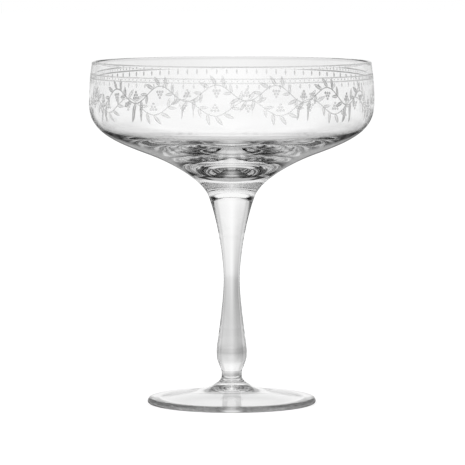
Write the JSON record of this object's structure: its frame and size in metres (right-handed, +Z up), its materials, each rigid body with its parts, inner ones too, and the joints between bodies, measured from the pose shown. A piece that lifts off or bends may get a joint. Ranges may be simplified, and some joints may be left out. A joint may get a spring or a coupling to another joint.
{
  "type": "champagne glass",
  "caption": "Clear champagne saucer: a wide shallow bowl with an etched border, a solid baluster stem with a drop knop, a short collar and a round foot.",
  "frame": {"origin": "middle of the flat ring under the foot that the glass stands on", "axes": "+Z up along the axis that every piece is round about, from the foot to the rim"},
  "size_m": [0.108, 0.108, 0.13],
  "materials": {
    "clear_glass": "fire-polished clear crystal",
    "etched_glass": "fine matt frost of an etched border"
  },
  "bodies": {
    "root": {"bowl": "clear_glass", "stem": "clear_glass", "collar": "clear_glass", "foot": "clear_glass"}
  },
  "joints": []
}
